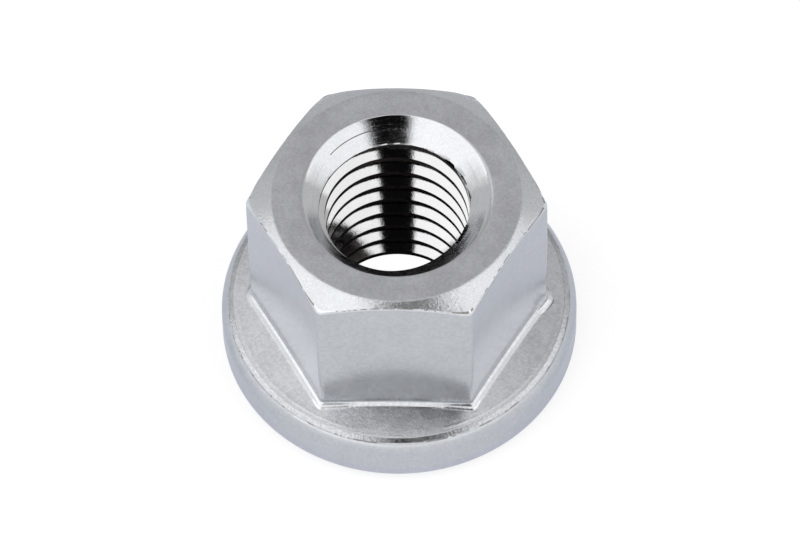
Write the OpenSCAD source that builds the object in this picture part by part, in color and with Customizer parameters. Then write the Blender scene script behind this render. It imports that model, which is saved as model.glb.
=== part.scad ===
// Hexagon nut with a collar, cold formed in one piece and finished by turning.
// The origin is the centre of the bearing face, and the thread axis is +Z. All sizes are in millimetres.

/* [Thread] */
// Nominal diameter of the thread
thread_d = 10; // [6:0.5:12]
// Pitch of the thread, which sets the bore at its minor diameter
thread_pitch = 1.5; // [0.75:0.05:2]
// How much wider than the thread the lead-in at each end is, at its mouth
lead_over = 0.2; // [0:0.05:0.6]
// Included angle of both lead-ins, in degrees
lead_angle = 60; // [40:5:80]
// Width of the shallow countersink around each lead-in
sink_w = 0.7; // [0.4:0.05:1.2]
// Included angle of both countersinks, in degrees
sink_angle = 120; // [90:5:130]
// Rounding of the upper countersink's mouth
lip_r = 0.4; // [0.2:0.05:0.8]

/* [Hexagon] */
// Width across the flats
across_flats = 16; // [15.5:0.1:20]
// Height of the whole nut
nut_h = 15; // [10:0.1:24]
// Rounding of the six upright corners
corner_r = 0.5; // [0.1:0.05:1]
// How far the round top face lies inside the flats
top_inset = 0.38; // [0.1:0.02:0.6]
// Slope of the turned chamfer on the top corners, in degrees
top_chamfer = 30; // [15:1:40]

/* [Collar] */
// How far the collar stands out past the flats
collar_w = 3; // [2.5:0.1:6]
// Height of the collar's top at the foot of the flats
collar_h = 4; // [3:0.1:6]
// Fall of the collar's top towards its rim, in degrees
collar_fall = 10.5; // [4:0.5:14]
// Width of the narrow bevel around the rim
rim_w = 0.27; // [0.1:0.01:0.5]
// Slope of the rim's bevel, in degrees
rim_bevel = 30; // [20:1:45]
// Rounding from the rim's bevel into the collar's side
side_r = 1.2; // [0.5:0.05:1.4]
// Rounding around the edge of the bearing face
foot_r = 0.8; // [0.2:0.05:1]

/* [Root] */
// Width of the flare where a flat runs out onto the collar
root_w = 0.22; // [0.15:0.01:0.3]
// Slope of the flare, in degrees
root_slope = 45; // [35:1:60]
// How deep the hexagon and its flare run into the collar
root_sunk = 0.6; // [0.4:0.05:1]

/* [Hidden] */
$fn = 96;

flats = 6;
flat_turn = 360 / flats;
flat_x = across_flats / 2;
corner_x = flat_x / cos(flat_turn / 2);

// A rounding leaves a faint crease of this angle where it meets a face
crease = 8;

// A 60 degree thread takes 5/8 of its full triangle off the radius
minor_r = thread_d / 2 - 5 / 8 * thread_pitch * sin(60);
// The lead-in cuts away the first turns, and the countersink opens it to the face
lead_r = (thread_d + lead_over) / 2;
lead_deep = (lead_r - minor_r) / tan(lead_angle / 2);
sink_r = lead_r + sink_w;
sink_deep = sink_w / tan(sink_angle / 2);
sink_slope = 90 - sink_angle / 2;
// Depth of the lip's centre under the top face, and how far from the mouth's edge it stands
lip_deep = lip_r * cos(crease);
lip_in = lip_deep * tan(sink_slope / 2);

// The rounding of the collar's side ends in a crease at the rim's bevel
collar_r = flat_x + collar_w;
side_slope = rim_bevel + crease;
rim_out_r = collar_r - side_r * (1 - sin(side_slope));
rim_in_r = rim_out_r - rim_w;
rim_in_z = collar_h - (rim_in_r - flat_x) * tan(collar_fall);
rim_out_z = rim_in_z - rim_w * tan(rim_bevel);
side_top = rim_out_z - side_r * cos(side_slope);
// The side's section is open above the bevel, up to this radius
open_r = rim_out_r - rim_w / 4;
collar_peak = collar_h + flat_x * tan(collar_fall);

// The flare starts at this height on a flat, and goes on under the collar's top
flare_top = collar_h - root_w * tan(collar_fall) + root_w * tan(root_slope);
flare_low = collar_h - root_sunk;
flare_x = (flare_top - flare_low) / tan(root_slope);
// The rounding of the upright corners ends a hair under the top of the flare
corner_low = flare_top - corner_r * (1 - cos(crease)) / 2 * tan(root_slope);

// A bar with one pair of flats, which face along Y, and the flare at their foot
module flat_bar() {
    rotate([90, 0, 90])
        linear_extrude(4 * corner_x, center = true)
            polygon([
                [-flat_x - flare_x, flare_low],
                [flat_x + flare_x, flare_low],
                [flat_x, flare_top],
                [flat_x, nut_h],
                [-flat_x, nut_h],
                [-flat_x, flare_top]
            ]);
}

// The sliver that the rounding takes off one upright corner
module corner_sliver() {
    corner_in = corner_r * cos(crease);
    centre_x = corner_x - corner_in / cos(flat_turn / 2);
    translate([0, 0, corner_low])
        linear_extrude(nut_h)
            difference() {
                translate([centre_x + corner_in * cos(flat_turn / 2), -corner_r])
                    square([2 * corner_r, 2 * corner_r]);
                translate([centre_x, 0])
                    circle(corner_r);
            }
}

// The cone of the turned chamfer, as the outline that the hexagon stays inside
module chamfer_cone() {
    top_r = flat_x - top_inset;
    rotate_extrude()
        polygon([
            [0, 0],
            [collar_r, 0],
            [collar_r, nut_h - (collar_r - top_r) * tan(top_chamfer)],
            [top_r, nut_h],
            [0, nut_h]
        ]);
}

// Three crossed bars make the six flats, mitred at the foot
module hexagon() {
    difference() {
        intersection() {
            flat_bar();
            rotate(flat_turn)
                flat_bar();
            rotate(2 * flat_turn)
                flat_bar();
            chamfer_cone();
        }
        for (side = [0 : flats - 1])
            rotate(side * flat_turn)
                corner_sliver();
    }
}

// Section of the collar's rounded side and foot, open at the top
module side_section() {
    polygon([
        [0, 0],
        [collar_r - foot_r, 0],
        [collar_r - foot_r, foot_r],
        [collar_r, foot_r],
        [collar_r, side_top],
        [open_r, side_top],
        [open_r, nut_h],
        [0, nut_h]
    ]);
    translate([collar_r - foot_r, foot_r])
        circle(foot_r);
    translate([collar_r - side_r, side_top])
        circle(side_r);
}

// Section of the collar: the rounded side under a falling top and the rim's bevel
module collar_section() {
    intersection() {
        side_section();
        polygon([
            [0, 0],
            [collar_r + side_r, 0],
            [collar_r + side_r, rim_in_z - (collar_r + side_r - rim_in_r) * tan(rim_bevel)],
            [rim_in_r, rim_in_z],
            [0, collar_peak]
        ]);
    }
}

// Section of the bore: minor diameter, a lead-in and a countersink at each end, the rounded upper mouth
module bore_section() {
    clear = nut_h;
    lip_x = sink_r + lip_in;
    wall_x = sink_r - lip_in * cos(sink_slope);
    wall_z = nut_h - lip_in * sin(sink_slope);
    polygon([
        [0, -clear],
        [sink_r, -clear],
        [sink_r, 0],
        [lead_r, sink_deep],
        [minor_r, sink_deep + lead_deep],
        [minor_r, nut_h - sink_deep - lead_deep],
        [lead_r, nut_h - sink_deep],
        [sink_r, nut_h],
        [sink_r, nut_h + clear],
        [0, nut_h + clear]
    ]);
    difference() {
        polygon([
            [0, wall_z],
            [wall_x, wall_z],
            [lip_x, nut_h],
            [lip_x, nut_h + clear],
            [0, nut_h + clear]
        ]);
        translate([lip_x, nut_h - lip_deep])
            circle(lip_r);
    }
}

module collar_nut() {
    color("silver")
        difference() {
            union() {
                rotate_extrude()
                    collar_section();
                hexagon();
            }
            rotate_extrude()
                bore_section();
        }
}

collar_nut();
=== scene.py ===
import math

import bmesh
import bpy
from mathutils import Matrix, Vector, noise


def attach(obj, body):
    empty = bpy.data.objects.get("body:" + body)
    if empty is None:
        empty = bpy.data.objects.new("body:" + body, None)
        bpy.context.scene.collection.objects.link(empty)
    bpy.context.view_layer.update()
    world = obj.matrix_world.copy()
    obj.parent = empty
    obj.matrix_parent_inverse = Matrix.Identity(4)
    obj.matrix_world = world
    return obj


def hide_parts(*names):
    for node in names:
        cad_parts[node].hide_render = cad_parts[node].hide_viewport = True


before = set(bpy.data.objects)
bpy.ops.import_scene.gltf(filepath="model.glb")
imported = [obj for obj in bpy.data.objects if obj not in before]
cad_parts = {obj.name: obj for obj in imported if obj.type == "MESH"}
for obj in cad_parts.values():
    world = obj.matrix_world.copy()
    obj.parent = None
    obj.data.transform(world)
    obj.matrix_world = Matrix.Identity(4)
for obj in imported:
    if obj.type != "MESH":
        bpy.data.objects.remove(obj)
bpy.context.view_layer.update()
print("stage: frame loaded")

mm = 0.001

# sizes of the nut in millimetres; the flare and the countersinks are finer than in the part's source
nutSizes = {
    "height": 15.0,
    "apothem": 8.0,
    "cornerRadius": 0.5,
    "topRadius": 7.62,
    "chamferSlope": 30.0,
    "collarRadius": 11.0,
    "collarHeight": 4.0,
    "collarFall": 10.5,
    "footRadius": 0.8,
    "sideRadius": 1.2,
    "sideTop": 2.478,
    "sideSweep": 52.0,      # degrees of the rounding up to the rim's bevel
    "rimOut": (10.539, 3.424),
    "rimIn": (10.269, 3.580),
    "ringRadius": 10.05,    # faint turned line on the collar
    "flareWidth": 0.33,
    "flareRise": 0.225,
    "sinkMouth": 5.86,
    "sinkSlope": 37.5,      # degrees, of both countersinks
    "sinkNarrow": 0.14,     # it is narrower by this at the left and right
    "leadRadius": 5.1,      # the first groove is filled from here in
    "leadTurn": 4.5,        # and falls more steeply from here
    "leadSlope": 48.0,
    "lipRadius": 0.2,
    "lipGrowth": 0.6,       # at the left and right the lip is rounder
    "boreTop": 14.5,        # the thread's grid ends here, on the countersink
    "boreLow": 0.5,
    "sharpEdge": 26.0,      # degrees from which an edge is shaded sharp
}
threadSizes = {
    "pitch": 1.5,
    "crestRadius": 4.338,   # upper limit of the minor diameter
    "rootRadius": 5.0,
    "crestWidth": 0.36,
    "rootWidth": 0.376,
    "crestAtBack": 0.34,    # height of a crest's middle at the back, +Y
    "endDepth": 0.99,       # the ridge ends where its middle comes this near to a face of the nut
    "endFade": 0.48,
    "endRadius": 5.06,
    "bellReach": 4.0,       # depth over which it widens towards the upper face
    "bellSlope": 0.035,
    "fillMiddle": 15.0,     # degrees; the first groove is filled most on this side
    "fillEdge": (-0.6, 0.7),
    "wobble": 0.006,        # unevenness of the wall
    "wobbleSize": 0.9,
    "snap": 0.0005,         # a row this near to the countersink counts as on it
    "softEdge": 0.02,       # rounding of the countersink's inner edge
    "sinkFinish": 0.005,    # its finish reaches this far past the edge
}


# random-looking but fixed value between -1 and 1 along a circle of the nut
def ringNoise(theta, radius, size, seed):
    at = Vector((math.cos(theta) * radius / size, math.sin(theta) * radius / size, seed * 7.31))
    return noise.noise(at)


def surfaceNoise(x, y, z, size, seed):
    return noise.noise(Vector((x / size + seed * 3.7, y / size - seed * 5.1, z / size + seed)))


def smooth(low, high, value):
    t = min(1.0, max(0.0, (value - low) / (high - low)))
    return t * t * (3 - 2 * t)


# from 1 to 0 with the distance, in degrees, from a direction
def near(theta, middle, reach):
    off = ((math.degrees(theta) - middle + 180) % 360 - 180) / reach
    return math.exp(-off ** 4)


# from 1 at the six corners to 0 between them
def atCorner(theta, reach):
    turn = math.degrees(theta) % 60
    off = min(turn, 60 - turn) / reach
    return math.exp(-off * off)


# the flare is blunt at the left and right corners, and sharper at the others
def flareCorner(theta):
    return 0.9 if abs(math.cos(theta)) > math.cos(math.radians(30)) else 0.3


# burr at the right end of the flare
def hook(theta):
    return near(theta, -4.2, 3.2)


# columns of the grid: closer together at the hexagon's corners, which are at 0, 60, 120... degrees
def columnAngles():
    angles = []
    for corner in range(6):
        for step in range(40):
            angles.append(corner * 60 - 30 + step * 0.675)
        for step in range(40):
            angles.append(corner * 60 - 3 + step * 0.15)
        for step in range(40):
            angles.append(corner * 60 + 3 + step * 0.675)
    return [math.radians(a) for a in angles]


# radius of a hexagon with rounded corners, in the direction theta
def hexRadius(theta, apothem, cornerRadius):
    turn = math.degrees(theta) % 60
    off = math.radians(turn if turn <= 30 else 60 - turn)
    cos30 = math.cos(math.radians(30))
    centre = apothem / cos30 - cornerRadius / cos30
    tangent = math.atan2(cornerRadius * 0.5, centre + cornerRadius * cos30)
    if off < tangent:
        return centre * math.cos(off) + math.sqrt(cornerRadius ** 2 - (centre * math.sin(off)) ** 2)
    return apothem / math.cos(math.radians(30) - off)


def coneHeight(radius):
    s = nutSizes
    return s["collarHeight"] - (radius - s["apothem"]) * math.tan(math.radians(s["collarFall"]))


def chamferHeight(radius):
    s = nutSizes
    return s["height"] - (radius - s["topRadius"]) * math.tan(math.radians(s["chamferSlope"]))


# wear of the edges, in millimetres; pairs are coarse and fine unevenness
wearLook = {
    "rimRagged": (0.022, 0.012),
    "rimWander": 0.03,
    "ringLift": 0.012,                # the turned line on the collar
    "hookOut": 0.1,
    "hookUp": 0.05,
    "chamferRagged": (0.012, 0.016),  # all around, and added at the front
    "burr": 0.04,
    "topRagged": (0.035, 0.012),
    "lipRagged": (0.012, 0.008),
}


# one ring is a list of (radius, height), one for each column, with the finish of the band that starts at it
def outerRings(angles):
    s = nutSizes
    rings = []

    def add(finish, points):
        rings.append((finish, points))

    def addRound(finish, radius, height):
        add(finish, [(radius, height)] * len(angles))

    for radius in (5.6, 6.2, 7.4, 8.8, 9.7):
        addRound("bearing", radius, 0.0)
    foot = s["footRadius"]
    for step in range(9):
        a = math.radians(90 * step / 8)
        addRound("foot", s["collarRadius"] - foot + foot * math.sin(a), foot - foot * math.cos(a))
    for step in range(1, 5):
        addRound("side", s["collarRadius"], foot + (s["sideTop"] - foot) * step / 4)
    for step in range(1, 12):
        a = math.radians(s["sideSweep"] * step / 12)
        addRound("side", s["collarRadius"] - s["sideRadius"] * (1 - math.cos(a)),
                 s["sideTop"] + s["sideRadius"] * math.sin(a))

    # the rim's bevel, with a ragged outer edge
    rimOut, rimIn = s["rimOut"], s["rimIn"]
    coarse, fine = wearLook["rimRagged"]
    ragged = [coarse * ringNoise(t, 10.5, 0.5, 1) + fine * ringNoise(t, 10.5, 0.16, 2) for t in angles]
    wander = [wearLook["rimWander"] * ringNoise(t, 10.3, 4.0, 3) for t in angles]
    # the dark dashes of edge colour along the rim's outer edge are painted shade
    shadeDashes = [ringNoise(t, 10.5, 1.1, 12) + 0.5 * ringNoise(t, 10.5, 0.25, 17)
              + 0.3 * near(t, 270, 19) - 0.3 * (1 - near(t, 270, 70)) for t in angles]
    add(["edge" if b > 0.16 else "side" for b in shadeDashes],
        [(rimOut[0] + 0.04 + w, rimOut[1] - 0.055) for w in wander])
    add("rim", [(rimOut[0] + g + w, rimOut[1] + 0.004 + 0.3 * abs(g)) for g, w in zip(ragged, wander)])
    for share in (0.3, 0.7):
        add("rim", [(rimOut[0] + (rimIn[0] - rimOut[0]) * share + w, rimOut[1] + (rimIn[1] - rimOut[1]) * share)
                    for w in wander])
    add("rim", [(rimIn[0] + 0.02 + w, rimIn[1] - 0.008) for w in wander])
    add("collar", [(rimIn[0] - 0.03 + w, coneHeight(rimIn[0] - 0.03)) for w in wander])
    ring = s["ringRadius"]
    add("collar", [(ring + 0.08, coneHeight(ring + 0.08))] * len(angles))
    lift = [wearLook["ringLift"] * (1 - near(t, 270, 22)) for t in angles]
    add("collar", [(ring + 0.03, coneHeight(ring + 0.03))] * len(angles))
    add("collar", [(ring - 0.03, coneHeight(ring - 0.03) + u) for u in lift])
    add("collar", [(ring - 0.10, coneHeight(ring - 0.10) + u * 0.5) for u in lift])

    # from the ring line in to the foot of the flare
    footRing = [hexRadius(t, s["apothem"] + s["flareWidth"], flareCorner(t)) + wearLook["hookOut"] * hook(t)
                for t in angles]
    for share in (0.2, 0.4, 0.6, 0.75):
        points = []
        for f, u in zip(footRing, lift):
            r = (ring - 0.10) + (f - (ring - 0.10)) * share
            points.append((r, coneHeight(r) + u * 0.5 * (1 - share)))
        add("collar", points)
    # the dark faces at the burr are painted shadow around it
    add(["edge" if hook(t) > 0.55 else "collar" for t in angles],
        [(f + 0.09, coneHeight(f + 0.09)) for f in footRing])
    add("collar", [(f + 0.02, coneHeight(f + 0.02)) for f in footRing])

    # the flare, the ledge over it and a second faint step at the foot of the flat, mitred at the corners
    rise = s["flareRise"]
    # painted highlight beside the front flat: the lighter flare colour on the flare's front sides
    paintedFlareHighlight = ["flare" if math.sin(t) < 0 and near(t, 270, 31) < 0.4 else "collar" for t in angles]
    # for each row: finish, width, height, and height at the front, where it is one plain slope
    profile = [
        (paintedFlareHighlight, 0.9, 0.08, 0.02),
        (paintedFlareHighlight, 0.66, 0.5, 0.06),
        (paintedFlareHighlight, 0.48, 0.86, 0.3),
        ("collar", 0.4, 0.97, 0.42),
        ("collar", 0.3, 1.03, 0.57),
        ("collar", 0.1, 1.12, 0.87),
        (paintedFlareHighlight, 0.03, 1.2, 1.0),
        ("flat", -0.02, 1.4, 1.2),
    ]
    for finish, out, up, upFront in profile:
        points = []
        for t, f in zip(angles, footRing):
            edge = hexRadius(t, s["apothem"] + s["flareWidth"] * out, flareCorner(t))
            high = rise * (up + (upFront - up) * near(t, 270, 28))
            points.append((edge + wearLook["hookOut"] * hook(t) * max(0.0, out),
                           coneHeight(f) + high + wearLook["hookUp"] * hook(t) * out))
        add(finish, points)
    flareTop = [coneHeight(f) + rise * 1.6 for f in footRing]

    # the flats, up to the ragged edge of the chamfer
    flatRing = [hexRadius(t, s["apothem"], s["cornerRadius"]) for t in angles]
    edge = []
    allAround, atFront = wearLook["chamferRagged"]
    for t, r in zip(angles, flatRing):
        uneven = allAround + atFront * smooth(0.2, -0.4, math.sin(t))
        edge.append(chamferHeight(r) + uneven * (ringNoise(t, 8.5, 0.45, 5) + 0.5 * ringNoise(t, 8.5, 0.15, 6)))
    for share in (0.0, 0.03, 0.08, 0.16, 0.26, 0.36, 0.46, 0.56, 0.66, 0.76, 0.86, 0.94):
        points = []
        for t, low, high in zip(angles, flareTop, edge):
            z = low + (high - 0.3 - low) * share
            soft = flareCorner(t) + (s["cornerRadius"] - flareCorner(t)) * min(1.0, share * 12)
            points.append((hexRadius(t, s["apothem"], soft), z))
        # painted shade of a small nick at the foot of the left corner: a few faces painted dark
        nickShade = ["edge" if near(t, 179.4, 0.7) > 0.4 else "flat" for t in angles]
        add(nickShade if share == 0.0 else "flat", points)
    burr = [max(0.0, ringNoise(t, 8.5, 0.7, 8) + 0.05) * wearLook["burr"] * smooth(0.3, -0.2, math.sin(t))
            for t in angles]
    # the corners of the hexagon are worn round under the chamfer
    worn = [atCorner(t, 4.5) for t in angles]
    add("flat", [(r - 0.01 * w, z - 0.3) for r, z, w in zip(flatRing, edge, worn)])
    # the lighter flare colour along the top edge of the flats is painted highlight
    add("flare", [(r + 0.012 - 0.03 * w, z - 0.17) for r, z, w in zip(flatRing, edge, worn)])
    add("flare", [(r + 0.008 + b * 0.5 - 0.07 * w, z - 0.09) for r, z, b, w in zip(flatRing, edge, burr, worn)])
    # the dark dashes along the top edge of the flats, under the chamfer, are painted shade
    shadeDashes = [ringNoise(t, 8.5, 0.9, 13) + 0.7 * ringNoise(t, 8.5, 0.22, 14) for t in angles]
    add(["edge" if b > 0.06 else "flare" for b in shadeDashes],
        [(r + b - 0.12 * w, z - 0.035) for r, z, b, w in zip(flatRing, edge, burr, worn)])
    add("chamfer", [(r + b * 0.3 - 0.03 - 0.2 * w, max(z, chamferHeight(r)) + 0.012 + 0.06 * w)
                    for r, z, b, w in zip(flatRing, edge, burr, worn)])
    top = s["topRadius"]
    coarse, fine = wearLook["topRagged"]
    rimTop = [top + coarse * ringNoise(t, 7.6, 2.5, 9) + fine * ringNoise(t, 7.6, 0.25, 10) for t in angles]
    for share in (0.2, 0.45, 0.7, 0.88):
        points = []
        for r, inner, w in zip(flatRing, rimTop, worn):
            q = (r - 0.03 - 0.25 * w) + (inner + 0.06 - r + 0.25 * w) * share
            points.append((q, chamferHeight(q)))
        add("chamfer", points)
    add("chamfer", [(q + 0.045, s["height"] - 0.028) for q in rimTop])
    add("top", [(q - 0.03, s["height"] - 0.003) for q in rimTop])
    add("top", [(q - 0.12, s["height"]) for q in rimTop])
    return rings


# rings from the top face down into the countersink, for every third column
def mouthRings(angles):
    s = nutSizes
    rings = []
    half = math.tan(math.radians(s["sinkSlope"] / 2))
    lips = [s["lipRadius"] + s["lipGrowth"] * math.cos(t) ** 4 for t in angles]
    coarse, fine = wearLook["lipRagged"]
    centres = [mouthRadius(t) + lip * half + coarse * ringNoise(t, 5.8, 0.9, 15)
               + fine * ringNoise(t, 5.8, 0.2, 16)
               for t, lip in zip(angles, lips)]
    for radius in (7.1, 6.6):
        rings.append(("top", [(radius, s["height"])] * len(angles)))
    rings.append(("top", [(c + 0.1, s["height"]) for c in centres]))
    lipSteps = 6
    for step in range(lipSteps + 1):
        a = math.radians(s["sinkSlope"] * step / lipSteps)
        finish = "top" if step < 1 else "sink"
        rings.append((finish, [(c - lip * math.sin(a), s["height"] - lip + lip * math.cos(a))
                               for c, lip in zip(centres, lips)]))
    start = rings[-1][1]
    # painted shade: a dark line of crest-coloured faces low in the countersink, at the back on the left
    line = ["crest" if near(t, 123, 18) > 0.45 + 0.5 * ringNoise(t, 5.3, 0.5, 18) else "sink" for t in angles]
    for share, finish in ((0.4, "sink"), (0.8, "sink"), (0.88, line), (0.96, "sink")):
        rings.append((finish, [(r + (sinkRadius(t, s["boreTop"]) - r) * share, z + (s["boreTop"] - z) * share)
                               for t, (r, z) in zip(angles, start)]))
    return rings


# radius of the countersinks' mouths
def mouthRadius(theta):
    return nutSizes["sinkMouth"] - nutSizes["sinkNarrow"] * math.cos(theta) ** 4


# radius of the countersinks at a height
def sinkRadius(theta, z):
    s = nutSizes
    return mouthRadius(theta) - min(s["height"] - z, z) / math.tan(math.radians(s["sinkSlope"]))


# the thread widens a little towards the upper face
def bell(z):
    t = threadSizes
    return t["bellSlope"] * max(0.0, t["bellReach"] - nutSizes["height"] + z)


# radius of the filled start of the upper groove, which leads from the countersink onto the first ridge
def leadRadius(theta, z):
    s, t = nutSizes, threadSizes
    turn = s["height"] - (mouthRadius(theta) - s["leadTurn"]) * math.tan(math.radians(s["sinkSlope"]))
    steep = s["leadTurn"] - (turn - z) / math.tan(math.radians(s["leadSlope"]))
    cone = sinkRadius(theta, z) if z > turn else steep
    share = smooth(*t["fillEdge"], math.cos(theta - math.radians(t["fillMiddle"])))
    return max(cone, s["leadRadius"] + (t["crestRadius"] + bell(z) - s["leadRadius"]) * share)


# from 0 where the thread's ridge is whole to 1 where it has ended, by the height of its middle
def ridgeEnd(middle):
    s, t = nutSizes, threadSizes
    deep = min(s["height"] - middle, middle)
    return smooth(t["endDepth"], t["endDepth"] - t["endFade"], deep)


# radius of the thread at a distance from the middle of a crest, along the axis
def threadRadius(along):
    t = threadSizes
    along = abs((along + t["pitch"] / 2) % t["pitch"] - t["pitch"] / 2)
    crest, root = t["crestWidth"] / 2, t["pitch"] / 2 - t["rootWidth"] / 2
    share = min(1.0, max(0.0, (along - crest) / (root - crest)))
    return t["crestRadius"] + (t["rootRadius"] - t["crestRadius"]) * share


# heights of the rows of one turn of the thread, measured from the middle of a crest
def threadSteps():
    t = threadSizes
    half, crest, root = t["pitch"] / 2, t["crestWidth"] / 2, t["pitch"] / 2 - t["rootWidth"] / 2
    flank = root - crest
    steps = [crest * share for share in (0.0, 0.25, 0.5, 0.75, 1.0)]
    steps += [crest + flank * share for share in (0.33, 0.67)]
    steps += [root, half]
    return sorted(set([-v for v in steps[1:-1]] + steps))


finishOrder = ["bearing", "foot", "side", "rim", "collar", "flare", "flat", "chamfer", "top", "sink", "thread",
               "crest", "edge"]


def buildNut(materials):
    s, t = nutSizes, threadSizes
    angles = columnAngles()
    coarse = angles[::3]
    mesh = bpy.data.meshes.new("collarNut")
    bm = bmesh.new()

    def place(theta, radius, z):
        return bm.verts.new((math.cos(theta) * radius * mm, math.sin(theta) * radius * mm, z * mm))

    def face(finish, corners):
        made = bm.faces.new(corners)
        made.material_index = finishOrder.index(finish)
        made.smooth = True

    def ringFaces(finish, low, high):
        count = len(low)
        for i in range(count):
            j = (i + 1) % count
            face(finish if isinstance(finish, str) else finish[i], (low[i], low[j], high[j], high[i]))

    outer = outerRings(angles)
    rows = [[place(a, r, z) for a, (r, z) in zip(angles, points)] for finish, points in outer]
    for k in range(len(rows) - 1):
        ringFaces(outer[k][0], rows[k], rows[k + 1])

    mouth = mouthRings(coarse)
    mouthRows = [[place(a, r, z) for a, (r, z) in zip(coarse, points)] for finish, points in mouth]
    for k in range(len(mouthRows) - 1):
        ringFaces(mouth[k][0], mouthRows[k], mouthRows[k + 1])
    # from three columns to one, on the flat top face
    fine, wide = rows[-1], mouthRows[0]
    for i in range(len(wide)):
        j = (i + 1) % len(wide)
        a, b, c, d = (fine[(3 * i + k) % len(fine)] for k in range(4))
        face("top", (a, b, wide[i]))
        face("top", (b, c, wide[j], wide[i]))
        face("top", (c, d, wide[j]))

    # the thread: rows that follow the helix, held between two heights on the countersinks
    steps = threadSteps()
    perTurn = len(steps)
    turns = int(math.ceil(s["height"] / t["pitch"])) + 3
    levels = [(turn * t["pitch"], v) for turn in range(-3, turns) for v in steps]
    grid, cut, ended = [], [], []
    for theta in coarse:
        column, cutColumn, endColumn = [], [], []
        rise = t["crestAtBack"] + t["pitch"] * (theta - math.pi / 2) / (2 * math.pi)
        firstCrest = max(middle + rise for middle, step in levels
                         if s["height"] - middle - rise > t["endDepth"] - t["endFade"] / 2)

        def wallRadius(middle, z):
            wobble = t["wobble"] * surfaceNoise(math.cos(theta) * 4, math.sin(theta) * 4, z, t["wobbleSize"], 11)
            r = threadRadius(z - rise) + wobble + bell(z)
            r += (t["endRadius"] - r) * ridgeEnd(middle + rise)
            return min(r, leadRadius(theta, z)) if z > firstCrest else r

        def inSink(middle, z):
            return sinkRadius(theta, z) > wallRadius(middle, z) - t["snap"]

        # the row next to the countersink's edge is moved onto it, so that the edge is a clean line
        heights = [min(s["boreTop"], max(s["boreLow"], middle + step + rise)) for middle, step in levels]
        for k in range(len(levels) - 1):
            low, high = heights[k], heights[k + 1]
            middle = levels[k][0]
            if low < s["height"] / 2 or high >= s["boreTop"] or inSink(middle, low) or not inSink(middle, high):
                continue
            for halving in range(12):
                z = (low + high) / 2
                if inSink(middle, z):
                    high = z
                else:
                    low = z
            heights[k if z - heights[k] < heights[k + 1] - z else k + 1] = z
        for (middle, step), z in zip(levels, heights):
            r = wallRadius(middle, z)
            over = sinkRadius(theta, z) - r
            column.append(place(theta, r + (over + math.hypot(over, t["softEdge"])) / 2, z))
            cutColumn.append(over > -t["sinkFinish"] or z > firstCrest + t["crestWidth"] / 2)
            endColumn.append(ridgeEnd(middle + rise) > 0.5)
        grid.append(column)
        cut.append(cutColumn)
        ended.append(endColumn)
    count = len(grid)
    for i in range(count):
        for k in range(len(levels) - 1):
            if i + 1 < count:
                low, high = grid[i + 1][k], grid[i + 1][k + 1]
            elif k + 1 + perTurn < len(levels):
                low, high = grid[0][k + perTurn], grid[0][k + 1 + perTurn]
            else:
                continue
            step = steps[k % perTurn]
            # the crests' faces take the dark crest colour, which is painted shade
            onCrest = -t["crestWidth"] / 2 <= step + 0.001 and step < t["crestWidth"] / 2 - 0.001
            finish = "crest" if onCrest and not ended[i][k] and not cut[i][k + 1] else "thread"
            if cut[i][k] and cut[i][k + 1]:
                finish = "sink"
            face(finish, (grid[i][k + 1], high, low, grid[i][k]))
    ringFaces("sink", mouthRows[-1], [column[-1] for column in grid])

    # the lower countersink, joined to the bearing face
    lower, first = [column[0] for column in grid], rows[0]
    for i in range(count):
        j = (i + 1) % count
        a, b, c, d = (first[(3 * i + k) % len(first)] for k in range(4))
        face("sink", (lower[i], b, a))
        face("sink", (lower[i], lower[j], c, b))
        face("sink", (lower[j], d, c))

    bmesh.ops.remove_doubles(bm, verts=bm.verts, dist=0.0002 * mm)
    bmesh.ops.dissolve_degenerate(bm, edges=bm.edges, dist=0.0001 * mm)
    bmesh.ops.recalc_face_normals(bm, faces=bm.faces)
    openEdges = sum(1 for e in bm.edges if len(e.link_faces) != 2)
    bm.to_mesh(mesh)
    bm.free()
    mesh.set_sharp_from_angle(angle=math.radians(s["sharpEdge"]))
    nut = bpy.data.objects.new("collarNut", mesh)
    bpy.context.collection.objects.link(nut)
    for finish in finishOrder:
        mesh.materials.append(materials[finish])
    print("stage: nut built,", len(mesh.polygons), "faces,", openEdges, "open edges")
    return nut


# node helpers
def addNode(tree, kind, **values):
    node = tree.nodes.new(kind)
    for name, value in values.items():
        setattr(node, name, value)
    return node


def mathNode(tree, operation, first, second=None):
    node = addNode(tree, "ShaderNodeMath", operation=operation)
    for socket, value in zip(node.inputs, (first, second)):
        if value is None:
            continue
        if isinstance(value, (int, float)):
            socket.default_value = value
        else:
            tree.links.new(value, socket)
    return node.outputs[0]


def rangeNode(tree, value, fromLow, fromHigh, toLow, toHigh):
    node = addNode(tree, "ShaderNodeMapRange", interpolation_type="SMOOTHSTEP")
    tree.links.new(value, node.inputs["Value"])
    for name, number in (("From Min", fromLow), ("From Max", fromHigh), ("To Min", toLow), ("To Max", toHigh)):
        node.inputs[name].default_value = number
    return node.outputs["Result"]


def newGroup(name, inputs, outputs):
    group = bpy.data.node_groups.new(name, "ShaderNodeTree")
    for label, value in inputs.items():
        socket = group.interface.new_socket(name=label, in_out="INPUT", socket_type="NodeSocketFloat")
        socket.default_value = value
    for label in outputs:
        group.interface.new_socket(name=label, in_out="OUTPUT", socket_type="NodeSocketFloat")
    return group, group.nodes.new("NodeGroupInput"), group.nodes.new("NodeGroupOutput")


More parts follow.
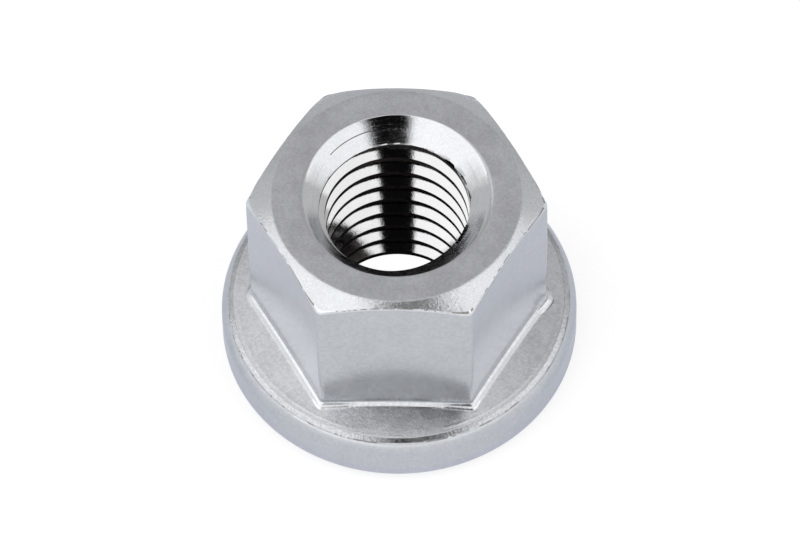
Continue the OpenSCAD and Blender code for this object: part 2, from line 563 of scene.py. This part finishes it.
# fine grain of a cold-formed face: small specks and broad blotches, both from 0 to 1
def grainGroup():
    group, given, result = newGroup("fineGrain", {"Size": 9000.0, "Spread": 700.0}, ["Speck", "Blotch"])
    coords = group.nodes.new("ShaderNodeTexCoord")
    for label, source, detail in (("Speck", "Size", 3.0), ("Blotch", "Spread", 4.0)):
        cloud = addNode(group, "ShaderNodeTexNoise", noise_dimensions="3D")
        cloud.inputs["Detail"].default_value = detail
        cloud.inputs["Roughness"].default_value = 0.6
        group.links.new(coords.outputs["Object"], cloud.inputs["Vector"])
        group.links.new(given.outputs[source], cloud.inputs["Scale"])
        group.links.new(rangeNode(group, cloud.outputs["Fac"], 0.25, 0.75, 0.0, 1.0), result.inputs[label])
    return group


# marks of the turning tool: fine across the radius, long around the axis
def turningGroup():
    group, given, result = newGroup("turningMarks", {"Fineness": 14000.0, "Length": 3.0}, ["Height"])
    coords = group.nodes.new("ShaderNodeTexCoord")
    parts = group.nodes.new("ShaderNodeSeparateXYZ")
    group.links.new(coords.outputs["Object"], parts.inputs[0])
    x, y, z = parts.outputs
    radius = mathNode(group, "SQRT", mathNode(group, "ADD", mathNode(group, "MULTIPLY", x, x),
                                              mathNode(group, "MULTIPLY", y, y)))
    across = mathNode(group, "ADD", radius, mathNode(group, "MULTIPLY", z, 0.6))
    where = group.nodes.new("ShaderNodeCombineXYZ")
    group.links.new(mathNode(group, "MULTIPLY", across, given.outputs["Fineness"]), where.inputs[0])
    group.links.new(mathNode(group, "MULTIPLY", mathNode(group, "DIVIDE", x, radius), given.outputs["Length"]),
                    where.inputs[1])
    group.links.new(mathNode(group, "MULTIPLY", mathNode(group, "DIVIDE", y, radius), given.outputs["Length"]),
                    where.inputs[2])
    marks = addNode(group, "ShaderNodeTexNoise", noise_dimensions="3D")
    marks.inputs["Scale"].default_value = 1.0
    marks.inputs["Detail"].default_value = 5.0
    marks.inputs["Roughness"].default_value = 0.65
    group.links.new(where.outputs[0], marks.inputs["Vector"])
    group.links.new(marks.outputs["Fac"], result.inputs["Height"])
    return group


groups = {"grain": grainGroup(), "turning": turningGroup()}
print("stage: node groups made")

# finish of each band; colours are linear, speck is how much the colour varies
finishLooks = {
    "top": {"color": (0.50, 0.503, 0.53), "rough": (0.36, 0.4),
            "grain": 6500, "speck": 0.15, "bump": 0.04, "turning": 0.01},
    "chamfer": {"color": (0.59, 0.603, 0.62), "rough": (0.27, 0.31),
                "grain": 6500, "speck": 0.1, "bump": 0.14, "turning": 0.1},
    "rim": {"color": (0.44, 0.45, 0.465), "rough": (0.2, 0.26),
            "grain": 6000, "speck": 0.22, "bump": 0.14, "turning": 0.1},
    "flat": {"color": (0.532, 0.544, 0.566), "rough": (0.21, 0.23),
             "grain": 4800, "speck": 0.1, "bump": 0.02, "turning": 0.0},
    # the flare colour is lighter than the rest of the steel: painted highlight
    "flare": {"color": (0.69, 0.705, 0.725), "rough": (0.28, 0.32),
              "grain": 6500, "speck": 0.12, "bump": 0.03, "turning": 0.0},
    "collar": {"color": (0.595, 0.607, 0.63), "rough": (0.25, 0.28),
               "grain": 5000, "speck": 0.16, "bump": 0.06, "turning": 0.02},
    "side": {"color": (0.535, 0.55, 0.58), "rough": (0.29, 0.31),
             "grain": 5000, "speck": 0.1, "bump": 0.03, "turning": 0.01},
    "foot": {"color": (0.53, 0.54, 0.60), "rough": (0.3, 0.33),
             "grain": 5000, "speck": 0.1, "bump": 0.03, "turning": 0.01},
    "bearing": {"color": (0.48, 0.485, 0.5), "rough": (0.26, 0.36),
                "grain": 6000, "speck": 0.1, "bump": 0.03, "turning": 0.2},
    "sink": {"color": (0.545, 0.55, 0.565), "rough": (0.08, 0.12),
             "grain": 7000, "speck": 0.08, "bump": 0.02, "turning": 0.12},
    "thread": {"color": (0.54, 0.54, 0.545), "rough": (0.05, 0.07),
               "grain": 7000, "speck": 0.05, "bump": 0.02, "turning": 0.03},
    # the dark crest colour is painted shade: it stands for the dark thread wall that the crests reflect
    "crest": {"color": (0.10, 0.088, 0.08), "rough": (0.25, 0.35),
              "grain": 7000, "speck": 0.3, "bump": 0.02, "turning": 0.0},
    # the dark edge colour is painted shade, for thin lines in crevices and under edges
    "edge": {"color": (0.27, 0.26, 0.255), "rough": (0.35, 0.45),
             "grain": 7000, "speck": 0.3, "bump": 0.02, "turning": 0.0},
}
steelLook = {
    "turned": ("chamfer",),     # faces that spread the light across the marks of the tool
    "anisotropy": 0.95,
    "anisotropyTurn": 0.25,
    "blotchEdge": (0.3, 0.7),
    "speckShare": 0.65,         # of the specks in the colour, the rest are blotches
    "bumpDistance": 0.00004,
}


def steelMaterial(name, look):
    material = bpy.data.materials.new("steel." + name)
    material.use_nodes = True
    tree = material.node_tree
    shader = tree.nodes["Principled BSDF"]
    shader.inputs["Metallic"].default_value = 1.0
    if name in steelLook["turned"]:
        shader.inputs["Anisotropic"].default_value = steelLook["anisotropy"]
        shader.inputs["Anisotropic Rotation"].default_value = steelLook["anisotropyTurn"]
        around = addNode(tree, "ShaderNodeTangent", direction_type="RADIAL", axis="Z")
        tree.links.new(around.outputs["Tangent"], shader.inputs["Tangent"])
    grain = addNode(tree, "ShaderNodeGroup", node_tree=groups["grain"])
    grain.inputs["Size"].default_value = look["grain"]
    turning = addNode(tree, "ShaderNodeGroup", node_tree=groups["turning"])
    low, high = look["rough"]
    rough = rangeNode(tree, grain.outputs["Blotch"], *steelLook["blotchEdge"], low, high)
    tree.links.new(rough, shader.inputs["Roughness"])
    # the colour varies a little with the grain
    shade = tree.nodes.new("ShaderNodeMix")
    shade.data_type = "RGBA"
    light, dark = 1 + look["speck"], 1 - look["speck"]
    shade.inputs["A"].default_value = (*(c * dark for c in look["color"]), 1.0)
    shade.inputs["B"].default_value = (*(c * light for c in look["color"]), 1.0)
    specks = steelLook["speckShare"]
    mixed = mathNode(tree, "ADD", mathNode(tree, "MULTIPLY", grain.outputs["Speck"], specks),
                     mathNode(tree, "MULTIPLY", grain.outputs["Blotch"], 1 - specks))
    tree.links.new(mixed, shade.inputs["Factor"])
    tree.links.new(shade.outputs["Result"], shader.inputs["Base Color"])
    height = mathNode(tree, "ADD", mathNode(tree, "MULTIPLY", grain.outputs["Speck"], look["bump"]),
                      mathNode(tree, "MULTIPLY", turning.outputs["Height"], look["turning"]))
    bump = tree.nodes.new("ShaderNodeBump")
    bump.inputs["Strength"].default_value = 1.0
    bump.inputs["Distance"].default_value = steelLook["bumpDistance"]
    tree.links.new(height, bump.inputs["Height"])
    tree.links.new(bump.outputs["Normal"], shader.inputs["Normal"])
    return material


materials = {finish: steelMaterial(finish, finishLooks[finish]) for finish in finishOrder}
print("stage: materials made")

nut = buildNut(materials)
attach(nut, "root")
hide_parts("collar_nut")

# floor: pale, and shown white by its own share of light, so that the shadow stays;
# the patch under the bore lies in the nut's shadow, so the metal sees it dark
floorLook = {
    "size": 1.5,
    "diffuse": 0.36,
    "seen": 0.70,
    "toMetalFront": (0.575, 0.585, 0.605),
    "toMetalSide": (0.46, 0.48, 0.535),
    "patch": (0.0062, 0.0075),
    "patchSeen": 1.0,
    "frontEdge": (-0.013, -0.004),  # along Y, from the front's glow to that of the sides
    "drop": 0.00002,                # it lies this far under the nut
}


def buildFloor():
    look = floorLook
    mesh = bpy.data.meshes.new("floor")
    half = look["size"]
    corners = [(-half, -half, 0), (half, -half, 0), (half, half, 0), (-half, half, 0)]
    mesh.from_pydata(corners, [], [(0, 1, 2, 3)])
    floor = bpy.data.objects.new("floor", mesh)
    floor.location.z = -look["drop"]
    bpy.context.collection.objects.link(floor)
    material = bpy.data.materials.new("paleFloor")
    material.use_nodes = True
    tree = material.node_tree
    tree.nodes.clear()
    out = tree.nodes.new("ShaderNodeOutputMaterial")
    diffuse = tree.nodes.new("ShaderNodeBsdfDiffuse")
    diffuse.inputs["Color"].default_value = (look["diffuse"],) * 3 + (1.0,)
    path = tree.nodes.new("ShaderNodeLightPath")
    coords = tree.nodes.new("ShaderNodeTexCoord")
    parts = tree.nodes.new("ShaderNodeSeparateXYZ")
    tree.links.new(coords.outputs["Object"], parts.inputs[0])
    away = addNode(tree, "ShaderNodeVectorMath", operation="LENGTH")
    tree.links.new(coords.outputs["Object"], away.inputs[0])

    # glow that only the camera sees, and one that only the metal sees
    toCamera = tree.nodes.new("ShaderNodeEmission")
    seen = rangeNode(tree, away.outputs["Value"], *look["patch"], look["patchSeen"], look["seen"])
    tree.links.new(mathNode(tree, "MULTIPLY", path.outputs["Is Camera Ray"], seen), toCamera.inputs["Strength"])
    toMetal = tree.nodes.new("ShaderNodeEmission")
    shade = tree.nodes.new("ShaderNodeMix")
    shade.data_type = "RGBA"
    shade.inputs["A"].default_value = (*look["toMetalFront"], 1.0)
    shade.inputs["B"].default_value = (*look["toMetalSide"], 1.0)
    tree.links.new(rangeNode(tree, parts.outputs["Y"], *look["frontEdge"], 0.0, 1.0), shade.inputs["Factor"])
    tree.links.new(shade.outputs["Result"], toMetal.inputs["Color"])
    mirrored = mathNode(tree, "MAXIMUM", path.outputs["Is Glossy Ray"], path.outputs["Is Transmission Ray"])
    outside = rangeNode(tree, away.outputs["Value"], *look["patch"], 0.0, 1.0)
    tree.links.new(mathNode(tree, "MULTIPLY", mirrored, outside), toMetal.inputs["Strength"])
    glow, both = tree.nodes.new("ShaderNodeAddShader"), tree.nodes.new("ShaderNodeAddShader")
    tree.links.new(toCamera.outputs[0], glow.inputs[0])
    tree.links.new(toMetal.outputs[0], glow.inputs[1])
    tree.links.new(diffuse.outputs[0], both.inputs[0])
    tree.links.new(glow.outputs[0], both.inputs[1])
    tree.links.new(both.outputs[0], out.inputs["Surface"])
    mesh.materials.append(material)


buildFloor()
print("stage: floor made")

# soft studio light: white panels at the sides, a paler horizon, a grey back, a lamp at the upper left
# and a dark gap around the camera
studioLook = {
    "panel": 1.62,
    "panelTilt": (1.04, 0.95),  # share of it on the left and on the right
    "horizon": 0.98,
    "back": 0.6,
    "backSide": 0.8,
    "sideEdge": (0.45, 0.65),   # from the middle of the back to its sides
    "panelEdge": (0.35, 0.42),  # where the panels end at the sides
    "middleShift": 0.2,         # in the middle they end this much nearer to the camera
    "upperLeft": 1.02,
    "gap": 0.004,
    "gapMiddle": 0.097,
    "gapEdge": (0.208, 0.238),
    "gapSpread": 0.33,          # it is this much wider low down
    "gapSpreadEdge": (0.8, 0.85),
    "gapTop": (0.56, 0.68),
    "gapBack": (-0.14, 0.0),
    "panelRise": (0.3, 0.5),    # height over which the horizon turns into the panels
    "tiltReach": (-0.6, 0.6),
    "middleEdge": (-0.1, 0.4),
    "lampSide": (-0.26, -0.1),
    "lampBack": (0.54, 0.7),
    "lampLow": (0.62, 0.74),
    "lowBack": 0.2,             # dark strips low at the back
    "lowSide": (0.4, 0.48),
    "lowFront": (0.62, 0.74),
    "lowTop": (0.08, 0.18),
}


def buildStudio():
    look = studioLook
    world = bpy.data.worlds.new("studio")
    bpy.context.scene.world = world
    world.use_nodes = True
    tree = world.node_tree
    background = tree.nodes["Background"]
    coords = tree.nodes.new("ShaderNodeTexCoord")
    parts = tree.nodes.new("ShaderNodeSeparateXYZ")
    tree.links.new(coords.outputs["Generated"], parts.inputs[0])
    x, y, z = parts.outputs

    def times(*factors):
        result = factors[0]
        for factor in factors[1:]:
            result = mathNode(tree, "MULTIPLY", result, factor)
        return result

    def blend(low, high, share):
        kept = mathNode(tree, "SUBTRACT", 1.0, share)
        return mathNode(tree, "ADD", times(low, kept), times(share, high))

    panel = rangeNode(tree, z, *look["panelRise"], look["horizon"], look["panel"])
    panel = times(panel, rangeNode(tree, x, *look["tiltReach"], *look["panelTilt"]))
    middle = rangeNode(tree, mathNode(tree, "ABSOLUTE", x), *look["sideEdge"], 1.0, 0.0)
    shifted = mathNode(tree, "ADD", y, times(middle, look["middleShift"]))
    back = blend(look["backSide"], look["back"], middle)
    sideShare = rangeNode(tree, shifted, *look["panelEdge"], 0.0, 1.0)
    middleShare = rangeNode(tree, y, *look["middleEdge"], 0.0, 1.0)
    share = blend(sideShare, middleShare, middle)
    level = blend(panel, back, share)
    lamp = times(rangeNode(tree, x, *look["lampSide"], 1.0, 0.0), rangeNode(tree, y, *look["lampBack"], 1.0, 0.0),
                 rangeNode(tree, z, *look["lampLow"], 0.0, 1.0))
    level = mathNode(tree, "MAXIMUM", level, times(lamp, look["upperLeft"]))
    side = mathNode(tree, "ABSOLUTE", mathNode(tree, "SUBTRACT", x, look["gapMiddle"]))
    side = mathNode(tree, "DIVIDE", side, rangeNode(tree, z, *look["gapSpreadEdge"], 1 + look["gapSpread"], 1.0))
    gap = times(rangeNode(tree, side, *look["gapEdge"], 1.0, 0.0), rangeNode(tree, z, *look["gapTop"], 0.0, 1.0),
                rangeNode(tree, y, *look["gapBack"], 1.0, 0.0))
    level = blend(level, look["gap"], gap)
    low = times(rangeNode(tree, mathNode(tree, "ABSOLUTE", x), *look["lowSide"], 0.0, 1.0),
                rangeNode(tree, y, *look["lowFront"], 0.0, 1.0), rangeNode(tree, z, *look["lowTop"], 1.0, 0.0))
    level = blend(level, look["lowBack"], low)
    background.inputs["Color"].default_value = (1.0, 1.0, 1.0, 1.0)
    tree.links.new(level, background.inputs["Strength"])


buildStudio()
print("stage: studio light made")

# camera, fitted to the photograph's outline; millimetres and degrees
cameraLook = {
    "target": (0.114, 0.007, 7.0),
    "distance": 446.5,
    "azimuth": 2.31,
    "elevation": 57.35,
    "roll": -1.45,
    "lens": 326.7,
}


def buildCamera():
    look = cameraLook
    turn, lift, roll = (math.radians(look[k]) for k in ("azimuth", "elevation", "roll"))
    back = Vector((math.sin(turn) * math.cos(lift), -math.cos(turn) * math.cos(lift), math.sin(lift)))
    right = Vector((math.cos(turn), math.sin(turn), 0.0))
    up = back.cross(right)
    right, up = right * math.cos(roll) + up * math.sin(roll), up * math.cos(roll) - right * math.sin(roll)
    data = bpy.data.cameras.new("camera")
    data.lens = look["lens"]
    data.sensor_width = 36.0
    data.clip_start, data.clip_end = 0.05, 20.0
    camera = bpy.data.objects.new("camera", data)
    place = Matrix((right, up, back)).transposed().to_4x4()
    place.translation = (Vector(look["target"]) + back * look["distance"]) * mm
    camera.matrix_world = place
    bpy.context.collection.objects.link(camera)
    bpy.context.scene.camera = camera


buildCamera()
bpy.context.scene.view_settings.view_transform = "Standard"
print("stage: camera set")
